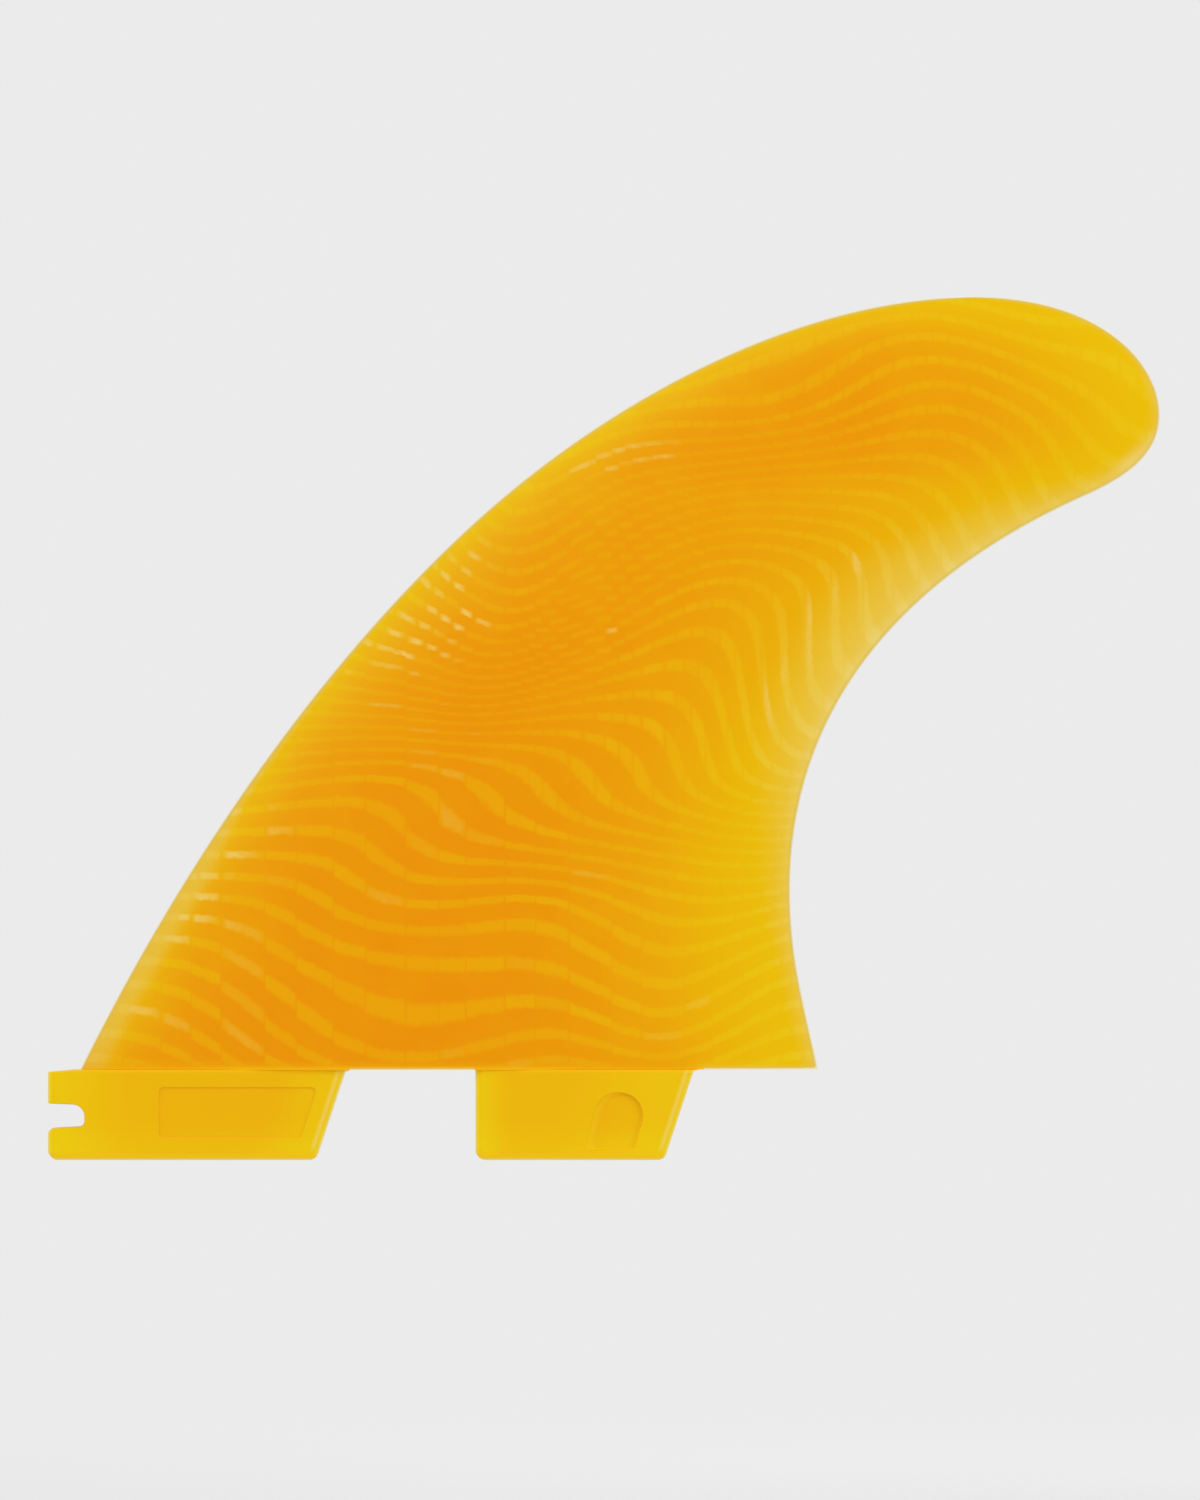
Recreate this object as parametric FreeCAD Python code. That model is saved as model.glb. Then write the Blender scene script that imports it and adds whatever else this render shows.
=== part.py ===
import FreeCAD, Part
import math
import os

from FreeCAD import Vector

# A side fin for a surfboard, moulded in one piece: a raked blade with a flat inner
# face and a foiled outer face, above two tabs that drop into the board's plug.
#
# Millimetres. The origin is the middle of the base chord, on the flat underside of the
# blade between the tabs. +Z points away from the board, +X runs from the leading edge
# to the trailing edge, and the foiled outer face looks along -Y. Y is zero halfway
# through the tabs.

# Blade in side view. Heights are from the underside, and each place along X hangs on
# the neighbour that it belongs to: the base, the tip or the leading edge.
BASE_LENGTH = 111.0
DEPTH = 116.3
SHOULDER_RUN = 58.8
SHOULDER_DROP = 34.4
TIP_OVERHANG = 51.45
TIP_LENGTH = 27.85
TIP_DROP = 17.8
UNDER_TIP_RUN = 11.05
UNDER_TIP_DROP = 12.1
WAIST_HEIGHT = 27.0
WAIST_INSET = 4.17

# Slope of each edge where it passes a knot of the outline, in degrees from the base
LEADING_SLOPE = 63.8
SHOULDER_SLOPE = 42.6
UNDER_TIP_SLOPE = 24.0
TRAILING_LEAN = 11.7

# How far each curve holds on to that slope, before and after the knot
LEADING_REACH = 32.7
SHOULDER_REACH = (32.5, 26.8)
APEX_REACH = (27.2, 18.8)
TIP_REACH = (5.5, 8.1)
UNDER_TIP_REACH = (31.3, 7.5)
WAIST_REACH = (10.4, 26.6)
TRAILING_REACH = 9.9

# Foil: thickest at the base, thinning towards the tip, with a flat inner face
BASE_THICKNESS = 6.4
TIP_THICKNESS = 2.6
TRAILING_THICKNESS = 0.9
INNER_FACE_STEP = 0.25
THICKEST_SHARE = 0.39
NOSE_SHARE = 0.04
NOSE_LIFT_SHARE = 0.11
CLOSING_POWER = 12
SECTION_COUNT = 18
FOIL_STEP_COUNT = 16
EDGE_STEP_COUNT = 6

# The two tabs
TAB_THICKNESS = 6.2
TAB_DEPTH = 13.6
TAB_REAR_SLANT = 18.3
FRONT_TAB_LEAD = 4.8
FRONT_TAB_LENGTH = 44.85
TAB_GAP = 19.4
REAR_TAB_LENGTH = 32.95
LEAD_DROP = 0.35
LEAD_SLOPE_LENGTH = 3.8
FRONT_CORNER = 1.7
REAR_CORNER = 1.6
TAB_RIM_ROUND = 1.3

# Notch in the nose of the front tab, open to the front, with rounded lips
NOTCH_DEPTH = 5.5
NOTCH_TOP = 5.3
NOTCH_HEIGHT = 3.2
NOTCH_ROUNDS = (1.8, 0.9)
LIP_SLOPES = (0.2, 0.3)
LIP_ROUNDS = (0.4, 1.1)

# Shallow blank panel in the outer side of the front tab
PANEL_FROM_NOSE = 16.7
PANEL_LENGTH = 24.8
PANEL_TOP = 2.6
PANEL_HEIGHT = 7.7
PANEL_SINK = 0.3
PANEL_CORNER = 0.8

# Latch recess in both sides of the rear tab: a slanted channel with a round top
LATCH_FROM_FRONT = 23.05
LATCH_WIDTH = 6.2
LATCH_SLANT = 16.0
LATCH_TOP = 3.6
LATCH_BOTTOM = 11.9
LATCH_ROUNDNESS = 0.96
LATCH_FOOT_ROUND = 0.8
LATCH_SINK = 0.6
LATCH_RAMP = 1.0
LATCH_DRAFT = 0.2

# Depth in Y of the blade's flat inner face, just below the side of the tabs
FLAT_Y = TAB_THICKNESS / 2 - INNER_FACE_STEP

# How far a cutting shape runs past what it cuts, and the least length that counts
SPARE = 1.0
TINY = 0.001


def blade_knots():
    """the two edges of the blade, from the base up to the apex.

    Each knot is x, z, slope in degrees, and how far the curve follows that slope
    before and after it.
    """
    leading_x = -BASE_LENGTH / 2
    trailing_x = BASE_LENGTH / 2
    tip_x = trailing_x + TIP_OVERHANG
    tip_z = DEPTH - TIP_DROP
    apex_x = tip_x - TIP_LENGTH
    leading = [
        (leading_x, 0, LEADING_SLOPE, 0, LEADING_REACH),
        (leading_x + SHOULDER_RUN, DEPTH - SHOULDER_DROP, SHOULDER_SLOPE) + SHOULDER_REACH,
        (apex_x, DEPTH, 0, APEX_REACH[0], 0),
    ]
    trailing = [
        (trailing_x, 0, 90 + TRAILING_LEAN, 0, TRAILING_REACH),
        (trailing_x - WAIST_INSET, WAIST_HEIGHT, 90) + WAIST_REACH,
        (tip_x - UNDER_TIP_RUN, tip_z - UNDER_TIP_DROP, UNDER_TIP_SLOPE) + UNDER_TIP_REACH,
        (tip_x, tip_z, 90) + TIP_REACH,
        (apex_x, DEPTH, 180, APEX_REACH[1], 0),
    ]
    return leading, trailing


def edge_curves(knots):
    """the smooth cubic curve between each pair of neighbouring knots"""
    curves = []
    for low, high in zip(knots, knots[1:]):
        start, end = Vector(low[0], 0, low[1]), Vector(high[0], 0, high[1])
        leave, arrive = math.radians(low[2]), math.radians(high[2])
        first = start + Vector(math.cos(leave), 0, math.sin(leave)) * low[4]
        second = end - Vector(math.cos(arrive), 0, math.sin(arrive)) * high[3]
        curve = Part.BezierCurve()
        curve.setPoles([start, first, second, end])
        curves.append(curve)
    return curves


def edge_x(curves, z):
    """x at which an edge of the blade passes the height z"""
    curve = next(c for c in curves if c.value(1).z >= z or c is curves[-1])
    low, high = 0.0, 1.0
    for _ in range(40):
        middle = (low + high) / 2
        if curve.value(middle).z < z:
            low = middle
        else:
            high = middle
    return curve.value(high).x


def shares(count):
    """even steps from 0 to 1"""
    return [i / count for i in range(count + 1)]


def foil_shape(share):
    """thickness at a share of the chord, rising from 0 to 1 and back to 0"""
    fullness = (3 * THICKEST_SHARE - 1) / (THICKEST_SHARE * (3 - 5 * THICKEST_SHARE))

    def raw(s):
        return math.sqrt(s) * (1 - s) * (1 + fullness * s)
    return raw(share) / raw(THICKEST_SHARE)


def nose_lift(share):
    """how far the rounded nose leaves the flat face, with 1 at the leading edge"""
    return (1 - math.sqrt(min(share / NOSE_SHARE, 1))) ** 2


def blade_section(z, leading, trailing):
    """points round the blade at height z: foiled side, trailing edge and inner nose"""
    closing = math.sqrt(max(1 - (z / DEPTH) ** CLOSING_POWER, 0))
    taper = (TIP_THICKNESS - BASE_THICKNESS) * z / DEPTH
    thickness = (BASE_THICKNESS + taper) * closing
    edge_thickness = TRAILING_THICKNESS * closing
    front = edge_x(leading, z)
    back = edge_x(trailing, z) - edge_thickness / 2
    chord = back - front

    def inner(s):
        lift = NOSE_LIFT_SHARE * thickness * nose_lift(s)
        return Vector(front + chord * s, FLAT_Y - lift, z)

    def outer(s):
        return inner(s) - Vector(0, thickness * foil_shape(s) + edge_thickness * s, 0)

    def rounded(turn):
        centre = Vector(back, FLAT_Y - edge_thickness / 2, z)
        return centre + Vector(math.sin(turn), -math.cos(turn), 0) * edge_thickness / 2

    foiled = [outer(t ** 2) for t in shares(FOIL_STEP_COUNT)]
    back_edge = [rounded(math.pi * t) for t in shares(EDGE_STEP_COUNT)]
    nose = [inner(NOSE_SHARE * (1 - t) ** 2) for t in shares(EDGE_STEP_COUNT)]
    return foiled, back_edge, nose


def smooth_curve(points):
    """a smooth curve through points, at even steps of its parameter"""
    curve = Part.BSplineCurve()
    curve.interpolate(Points=points, Parameters=shares(len(points) - 1))
    return curve


def skin(rows, apex):
    """smooth face through rows of points, closed to a point at the apex"""
    sections = [smooth_curve(row) for row in rows]
    columns = [smooth_curve(list(poles) + [apex])
               for poles in zip(*[curve.getPoles() for curve in sections])]
    u, v = sections[0], columns[0]
    surface = Part.BSplineSurface()
    surface.buildFromPolesMultsKnots(
        [curve.getPoles() for curve in columns], u.getMultiplicities(), v.getMultiplicities(),
        u.getKnots(), v.getKnots(), False, False, u.Degree, v.Degree)
    return surface.toShape()


def make_blade():
    """the foiled blade, skinned over its sections from the base to the apex"""
    leading, trailing = [edge_curves(knots) for knots in blade_knots()]
    apex = Vector(leading[-1].value(1).x, FLAT_Y, DEPTH)
    heights = [DEPTH * math.sin(math.pi / 2 * t) for t in shares(SECTION_COUNT)][:-1]
    sections = [blade_section(z, leading, trailing) for z in heights]
    foiled, back_edge, nose = zip(*sections)
    faces = [skin(rows, apex) for rows in (foiled, back_edge, nose)]
    sides = [[row[-1] for row in back_edge] + [apex], [row[0] for row in nose] + [apex]]
    flat_side = [smooth_curve(points).toShape() for points in sides]
    flat_side.append(Part.makeLine(back_edge[0][-1], nose[0][0]))
    faces.append(Part.Face(Part.Wire(Part.__sortEdges__(flat_side))))
    base = [smooth_curve(points).toShape() for points in sections[0]]
    faces.append(Part.Face(Part.Wire(base + [flat_side[-1]])))
    shell = Part.makeCompound(faces)
    shell.sewShape()
    return Part.Solid(shell.Shells[0])


def rounded_outline(corners):
    """closed outline in the XZ plane, from corners given as x, z and radius"""
    points = [Vector(x, 0, z) for x, z, _ in corners]
    edges, ends = [], []
    for i, corner in enumerate(points):
        radius = corners[i][2]
        before = (points[i - 1] - corner).normalize()
        after = (points[(i + 1) % len(points)] - corner).normalize()
        half = before.getAngle(after) / 2
        start = corner + before * (radius / math.tan(half))
        end = corner + after * (radius / math.tan(half))
        ends.append((start, end))
        if radius:
            middle = (before + after).normalize() * (radius / math.sin(half) - radius)
            edges.append(Part.Arc(start, corner + middle, end).toShape())
    for (_, leave), (arrive, _) in zip(ends, ends[1:] + ends[:1]):
        edges.append(Part.makeLine(leave, arrive))
    return Part.Wire(Part.__sortEdges__(edges))


def plate(outline, low_y, high_y):
    """a plate of the outline's shape between two depths"""
    face = Part.Face(outline)
    face.translate(Vector(0, low_y, 0))
    return face.extrude(Vector(0, high_y - low_y, 0))


def slant_run(depth, slant):
    """how far a slanted edge runs forward on its way down"""
    return depth * math.tan(math.radians(slant))


def make_tab(corners):
    """a tab from its side view, with its rims rounded apart from those at the top"""
    block = plate(rounded_outline(corners), -TAB_THICKNESS / 2, TAB_THICKNESS / 2)
    rims = [edge for edge in block.Edges
            if edge.BoundBox.YLength < TINY and edge.BoundBox.ZMin < -LEAD_DROP - TINY]
    return block.makeFillet(TAB_RIM_ROUND, rims)


def front_tab_nose():
    """x of the front tab's nose, ahead of the blade"""
    return -BASE_LENGTH / 2 - FRONT_TAB_LEAD


def notch_space(nose_x):
    """the space in front of the nose and in the notch, with its rounded lips"""
    notch_x = nose_x + NOTCH_DEPTH
    ahead_x = nose_x - SPARE
    low = NOTCH_TOP + NOTCH_HEIGHT
    top_z = -NOTCH_TOP + LIP_SLOPES[0]
    foot_z = -low - LIP_SLOPES[1]
    outline = rounded_outline([
        (ahead_x, top_z + SPARE, 0),
        (nose_x, top_z + SPARE, 0),
        (nose_x, top_z, LIP_ROUNDS[0]),
        (notch_x, -NOTCH_TOP, NOTCH_ROUNDS[0]),
        (notch_x, -low, NOTCH_ROUNDS[1]),
        (nose_x, foot_z, LIP_ROUNDS[1]),
        (nose_x, foot_z - LIP_ROUNDS[1] - SPARE, 0),
        (ahead_x, foot_z - LIP_ROUNDS[1] - SPARE, 0),
    ])
    return plate(outline, -TAB_THICKNESS, TAB_THICKNESS)


def make_front_tab():
    """the front tab, with its notch and its blank panel"""
    nose_x = front_tab_nose()
    rear_x = nose_x + FRONT_TAB_LENGTH
    tab = make_tab([
        (nose_x, -LEAD_DROP, 0),
        (nose_x + LEAD_SLOPE_LENGTH, 0, 0),
        (rear_x, 0, 0),
        (rear_x - slant_run(TAB_DEPTH, TAB_REAR_SLANT), -TAB_DEPTH, REAR_CORNER),
        (nose_x, -TAB_DEPTH, FRONT_CORNER),
    ])
    left_x = nose_x + PANEL_FROM_NOSE
    right_x = left_x + PANEL_LENGTH
    panel = rounded_outline([
        (left_x, -PANEL_TOP, PANEL_CORNER),
        (right_x - slant_run(PANEL_TOP, TAB_REAR_SLANT), -PANEL_TOP, PANEL_CORNER),
        (right_x - slant_run(PANEL_TOP + PANEL_HEIGHT, TAB_REAR_SLANT),
         -PANEL_TOP - PANEL_HEIGHT, PANEL_CORNER),
        (left_x, -PANEL_TOP - PANEL_HEIGHT, PANEL_CORNER),
    ])
    side_y = -TAB_THICKNESS / 2
    recess = plate(panel, side_y - SPARE, side_y + PANEL_SINK)
    return tab.cut([notch_space(nose_x), recess])


def latch_outline(centre_x, ramp, draft):
    """the latch recess in side view, widened by a ramp in front and a draft around"""
    front_x = centre_x - LATCH_WIDTH / 2 - draft - ramp
    rear_x = centre_x + LATCH_WIDTH / 2 + draft
    top_z = -LATCH_TOP + draft
    foot_z = -LATCH_BOTTOM - draft
    run = slant_run(top_z - foot_z, LATCH_SLANT)
    low, high = math.radians(45 - LATCH_SLANT / 2), math.radians(45 + LATCH_SLANT / 2)
    full_round = (rear_x - front_x) / (1 / math.tan(low) + 1 / math.tan(high))
    top_round = LATCH_ROUNDNESS * full_round
    return rounded_outline([
        (front_x, top_z, top_round), (rear_x, top_z, top_round),
        (rear_x - run, foot_z, LATCH_FOOT_ROUND), (front_x - run, foot_z, LATCH_FOOT_ROUND)])


def latch_recess(centre_x, side):
    """the space of the recess in one side of the tab, narrower at its floor"""
    mouth = latch_outline(centre_x, LATCH_RAMP, LATCH_DRAFT)
    floor = latch_outline(centre_x, 0, 0)
    mouth.translate(Vector(0, side * TAB_THICKNESS / 2, 0))
    floor.translate(Vector(0, side * (TAB_THICKNESS / 2 - LATCH_SINK), 0))
    return Part.makeLoft([mouth, floor], True, True)


def make_rear_tab():
    """the rear tab, with a latch recess in each side"""
    front_x = front_tab_nose() + FRONT_TAB_LENGTH + TAB_GAP
    rear_x = front_x + REAR_TAB_LENGTH
    tab = make_tab([
        (front_x, 0, 0),
        (rear_x, 0, 0),
        (rear_x - slant_run(TAB_DEPTH, TAB_REAR_SLANT), -TAB_DEPTH, REAR_CORNER),
        (front_x, -TAB_DEPTH, FRONT_CORNER),
    ])
    latch_x = front_x + LATCH_FROM_FRONT
    return tab.cut([latch_recess(latch_x, side) for side in (-1, 1)])


def make_fin():
    """blade and tabs, moulded as one piece"""
    return make_blade().fuse([make_front_tab(), make_rear_tab()])


os.makedirs("parts", exist_ok=True)
make_fin().exportStep("parts/fin.step")
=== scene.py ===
"""Looks of a surfboard side fin: a rippled amber blade above two yellow tabs.

The blade, the front tab and the rear tab stand for the one moulding of the frame. All
shapes are worked out in millimetres, as in the frame's own drawing, and go into the
meshes in metres: X from the leading edge to the trailing edge, Z up from the underside
of the blade, -Y out of the foiled outer face.
"""

import math

import bmesh
import bpy
import numpy as np
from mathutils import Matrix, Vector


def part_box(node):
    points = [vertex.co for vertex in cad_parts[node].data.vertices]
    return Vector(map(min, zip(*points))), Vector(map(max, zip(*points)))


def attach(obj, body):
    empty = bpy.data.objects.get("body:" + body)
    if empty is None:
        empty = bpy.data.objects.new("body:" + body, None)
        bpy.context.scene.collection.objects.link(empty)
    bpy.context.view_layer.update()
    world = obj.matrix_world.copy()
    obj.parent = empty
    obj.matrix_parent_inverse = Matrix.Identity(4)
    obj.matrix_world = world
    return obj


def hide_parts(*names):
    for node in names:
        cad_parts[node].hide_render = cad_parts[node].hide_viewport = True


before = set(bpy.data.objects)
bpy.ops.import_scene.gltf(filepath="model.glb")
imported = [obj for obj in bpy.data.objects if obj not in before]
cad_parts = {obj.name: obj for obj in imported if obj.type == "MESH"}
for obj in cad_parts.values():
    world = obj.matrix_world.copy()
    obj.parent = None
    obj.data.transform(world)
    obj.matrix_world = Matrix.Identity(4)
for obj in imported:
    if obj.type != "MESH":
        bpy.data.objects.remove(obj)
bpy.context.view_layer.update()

MM = 0.001

# Box of the moulding in the frame, in millimetres
LOW, HIGH = [[value / MM for value in corner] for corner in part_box("fin")]

# Blade in side view
BASE_LENGTH = 111.0
DEPTH = HIGH[2]
TIP_X = HIGH[0]
TIP_DROP = 17.8
TIP_LENGTH = 27.85
UNDER_TIP_RUN = 11.05
UNDER_TIP_DROP = 12.1
SHOULDER_RUN = 58.8
SHOULDER_DROP = 34.4
WAIST_HEIGHT = 27.0
WAIST_INSET = 4.17
LEADING_SLOPE = 63.8
SHOULDER_SLOPE = 42.6
UNDER_TIP_SLOPE = 24.0
TRAILING_LEAN = 11.7
LEADING_REACH = 32.7
SHOULDER_REACH = (32.5, 26.8)
APEX_REACH = (27.2, 18.8)
TIP_REACH = (5.5, 8.1)
UNDER_TIP_REACH = (31.3, 7.5)
WAIST_REACH = (10.4, 26.6)
TRAILING_REACH = 9.9

# Foil of the blade
BASE_THICKNESS = 6.38
TIP_THICKNESS = 2.6
TRAILING_THICKNESS = 0.9
INNER_FACE_STEP = 0.25
THICKEST_SHARE = 0.39
NOSE_SHARE = 0.04
NOSE_LIFT_SHARE = 0.11
CLOSING_POWER = 12
BASE_RIM_ROUND = 0.05

# How much deeper than it is the resin looks where the blade tapers and where it closes
TAPER_DEEPENING = 0.68
APEX_DEEPENING = 0.4
LEAST_CLOSING = 0.2

# Ripple of the cloth: level lines, and swells of x, z, length, width, turn and lift
RIPPLE_PITCH = 3.6
RIPPLE_START = -19.5
RIPPLE_TILT = (0.08, 0.10)
SWELLS = [
    (10, 71, 22, 11, 62, 15),
    (10, 88, 18, 7, 48, 9),
    (-10, 66, 12, 7, 60, 3),
    (42, 72, 20, 13, 55, -11),
    (60, 78, 12, 8, 40, -4),
    (-3, 46, 26, 9, 13, -11),
    (55, 47, 20, 14, 60, 13),
    (34, 40, 20, 7, 12, 4),
    (44, 98, 24, 9, 10, 8),
    (34, 105, 14, 4, 30, 5),
    (92, 82, 36, 11, 38, 10),
    (72, 106, 17, 20, 0, -8),
    (100, 114, 12, 8, -30, -4),
    (-8, 0, 26, 13, 0, 11),
    (32, 6, 12, 16, 0, 7),
    (-42, 18, 30, 16, 60, -6),
    (-18, 31, 16, 7, 25, -3),
    (54, 22, 10, 20, 0, -5),
    (13, 25, 12, 7, 0, -3),
]

# Places near the edges where bits of the cloth show pale: x, z, length, width and turn
BLEACHED = [
    (-3.6, 68, 12, 7, 40),
    (-38, 26, 17, 4.6, 58),
    (16, 90, 6, 2, 20),
    (27, 92.4, 8, 2, 8),
    (55, 67, 15, 2.6, 60),
]

# Where painted light shines through the edge under the tip: x, z, length, width and turn
TIP_GLARE = (103.4, 91.9, 5, 0.9, 44)

# How far in from the edges thin resin is pale: height on the blade and reach
PALE_FRONT = [(0, 3.2), (28, 3.2), (40, 1.2), (52, 0.9), (75, 0.45), (DEPTH, 0.25)]
PALE_REAR = [(0, 3.4), (15, 3.8), (25, 5.5), (35, 6.5), (45, 9.5), (55, 12.5), (65, 13.5), (76, 13.5),
             (86, 7.0), (95, 3.2), (105, 1.6), (DEPTH, 1.0)]

# How much narrower the lines along the base's edge are between the tabs than behind them
GAP_NARROWING = 1.4

# Tabs
TAB_THICKNESS = 2 * HIGH[1]
TAB_DEPTH = -LOW[2]
NOSE_X = LOW[0]
TAB_REAR_SLANT = 18.3
FRONT_TAB_LENGTH = 44.85
TAB_GAP = 19.4
REAR_TAB_LENGTH = 32.95
FRONT_TAB_REAR = NOSE_X + FRONT_TAB_LENGTH
REAR_TAB_FRONT = FRONT_TAB_REAR + TAB_GAP
REAR_TAB_REAR = REAR_TAB_FRONT + REAR_TAB_LENGTH
LEAD_DROP = 0.35
LEAD_SLOPE_LENGTH = 3.8
FRONT_CORNER = 1.7
REAR_CORNER = 1.6
TAB_RIM_ROUND = 1.3
NOTCH_DEPTH = 5.5
NOTCH_TOP = 5.3
NOTCH_HEIGHT = 3.2
NOTCH_ROUNDS = (1.8, 0.9)
LIP_SLOPES = (0.2, 0.3)
LIP_ROUNDS = (0.4, 1.1)
PANEL_FROM_NOSE = 16.7
PANEL_LENGTH = 24.8
PANEL_TOP = 2.6
PANEL_HEIGHT = 7.7
PANEL_SINK = 0.3
PANEL_CORNER = 0.8
LATCH_FROM_FRONT = 23.05
LATCH_WIDTH = 6.2
LATCH_SLANT = 16.0
LATCH_TOP = 3.6
LATCH_BOTTOM = 11.9
LATCH_ROUNDNESS = 0.96
LATCH_FOOT_ROUND = 0.8
LATCH_SINK = 0.6
LATCH_RAMP = 1.0
LATCH_DRAFT = 0.2

# How far in from the front and from the rear the tabs are lighter, by painted glow
FRONT_TAB_GLOW = (14.0, 11.0)
REAR_TAB_GLOW = (6.0, 19.0)

# Fine roundings that the moulding has and its drawing leaves out
ROOT_FILLET = 0.6
ROOT_START = 0.3
ROOT_ANGLE = 20.0
SHARP_ROUND = 0.05
NOTCH_EASE = 0.12
MOUTH_EASE = 0.1
FOOT_EASE = 0.35

# Rings of a recess: how far across its wall, and how far down as a share of its depth
EASED_WALL = [(-1.0, 0.0), (-0.4, 0.01), (0.0, 0.12), (0.5, 0.5), (1.0, 0.88), (1.4, 0.99), (2.0, 1.0)]

# Which of those rings lie at the two ends of the wall
WALL_TOP, WALL_FOOT = 2, 4

# Rows on the flat of the base and ring on the flat of a tab, in rim roundings from its edge
BASE_INSETS = (2.0, 1.2)
FLAT_INSET = 1.05

# Steps of the meshes
BLADE_ROWS = 320
FOIL_STEPS = 128
TRAILING_STEPS = 8
RIM_STEPS = 8
ARC_STEPS = 10
EDGE_SAMPLES = 800
SLOPE_STEP = 0.1
SHARP_ANGLE = 35.0
TINY = 1e-9

# Points nearer than this are merged, in metres
WELD = 2e-7

# Plane of the blade's flat inner face
FLAT_Y = TAB_THICKNESS / 2 - INNER_FACE_STEP


def linear(colour):
    """an sRGB hex colour as the linear values that the shaders take"""
    parts = [int(colour[i:i + 2], 16) / 255 for i in (1, 3, 5)]
    return tuple(p / 12.92 if p <= 0.04045 else ((p + 0.055) / 1.055) ** 2.4 for p in parts) + (1,)


def grid_faces(rows, columns):
    """quads between neighbouring closed rows of points"""
    row = np.arange(rows - 1)[:, None] * columns
    column = np.arange(columns)[None, :]
    beside = (column + 1) % columns
    quads = [row + column, row + beside, row + columns + beside, row + columns + column]
    return np.stack(np.broadcast_arrays(*quads), -1).reshape(-1, 4)


def mesh_piece(name, points, faces, material, attributes):
    """an object from points in millimetres, with values that its colours follow"""
    mesh = bpy.data.meshes.new(name)
    mesh.from_pydata((points * MM).tolist(), [], faces.tolist())
    for key, values in attributes.items():
        layer = mesh.attributes.new(key, "FLOAT", "POINT")
        layer.data.foreach_set("value", values.astype(np.float32))
    mesh.materials.append(material)
    piece = bpy.data.objects.new(name, mesh)
    bpy.context.scene.collection.objects.link(piece)
    return piece


def close(piece, flats=()):
    """closes a piece: fills the flat areas between loops, merges doubles, turns faces outward.

    The faces are shaded smooth, except across sharp edges.
    """
    work = bmesh.new()
    work.from_mesh(piece.data)
    work.verts.ensure_lookup_table()
    for loops in flats:
        edges = []
        for loop in loops:
            for a, b in zip(loop, np.roll(loop, -1)):
                pair = (work.verts[int(a)], work.verts[int(b)])
                edges.append(work.edges.get(pair) or work.edges.new(pair))
        bmesh.ops.triangle_fill(work, use_beauty=True, edges=edges)
    bmesh.ops.remove_doubles(work, verts=work.verts, dist=WELD)
    bmesh.ops.dissolve_degenerate(work, edges=work.edges, dist=WELD)
    bmesh.ops.recalc_face_normals(work, faces=work.faces)
    work.to_mesh(piece.data)
    work.free()
    piece.data.polygons.foreach_set("use_smooth", np.ones(len(piece.data.polygons), bool))
    piece.data.set_sharp_from_angle(angle=math.radians(SHARP_ANGLE))
    piece.data.update()


def edge_line(knots):
    """an edge of the blade in side view, as x over z.

    Between two knots it is a cubic curve: each knot gives x, z, slope in degrees, and how
    far the curve follows that slope before and after it.
    """
    t = np.linspace(0, 1, EDGE_SAMPLES)[:, None]
    spans = []
    for low, high in zip(knots, knots[1:]):
        start, end = np.array(low[:2]), np.array(high[:2])
        leave, arrive = math.radians(low[2]), math.radians(high[2])
        first = start + low[4] * np.array([math.cos(leave), math.sin(leave)])
        second = end - high[3] * np.array([math.cos(arrive), math.sin(arrive)])
        spans.append((1 - t) ** 3 * start + 3 * t * (1 - t) ** 2 * first
                     + 3 * t ** 2 * (1 - t) * second + t ** 3 * end)
    x, z = np.concatenate(spans).T
    return lambda height: np.interp(height, z, x)


def blade_edges():
    """the leading and the trailing edge"""
    leading_x, trailing_x = -BASE_LENGTH / 2, BASE_LENGTH / 2
    tip_z = DEPTH - TIP_DROP
    apex_x = TIP_X - TIP_LENGTH
    leading = edge_line([
        (leading_x, 0, LEADING_SLOPE, 0, LEADING_REACH),
        (leading_x + SHOULDER_RUN, DEPTH - SHOULDER_DROP, SHOULDER_SLOPE) + SHOULDER_REACH,
        (apex_x, DEPTH, 0, APEX_REACH[0], 0),
    ])
    trailing = edge_line([
        (trailing_x, 0, 90 + TRAILING_LEAN, 0, TRAILING_REACH),
        (trailing_x - WAIST_INSET, WAIST_HEIGHT, 90) + WAIST_REACH,
        (TIP_X - UNDER_TIP_RUN, tip_z - UNDER_TIP_DROP, UNDER_TIP_SLOPE) + UNDER_TIP_REACH,
        (TIP_X, tip_z, 90) + TIP_REACH,
        (apex_x, DEPTH, 180, APEX_REACH[1], 0),
    ])
    return leading, trailing


def edge_distance(edge, x, z):
    """distance from an edge in side view: the run to it, times the sine of its slope there"""
    height = np.clip(z, SLOPE_STEP, DEPTH - SLOPE_STEP)
    lean = (edge(height + SLOPE_STEP) - edge(height - SLOPE_STEP)) / (2 * SLOPE_STEP)
    return np.abs(x - edge(z)) / np.sqrt(1 + lean ** 2)


def foil_shape(share):
    """thickness at a share of the chord: the root of the share, falling to 0 at the end"""
    fullness = (3 * THICKEST_SHARE - 1) / (THICKEST_SHARE * (3 - 5 * THICKEST_SHARE))
    raw = np.sqrt(share) * (1 - share) * (1 + fullness * share)
    peak = math.sqrt(THICKEST_SHARE) * (1 - THICKEST_SHARE) * (1 + fullness * THICKEST_SHARE)
    return raw / peak


def bell(x, z, centre_x, centre_z, length, width, turn):
    """bell curve over a place in side view, by the distance along it and across it"""
    cos, sin = math.cos(math.radians(turn)), math.sin(math.radians(turn))
    along = ((x - centre_x) * cos + (z - centre_z) * sin) / length
    across = ((z - centre_z) * cos - (x - centre_x) * sin) / width
    return np.exp(-along ** 2 - across ** 2)


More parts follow.
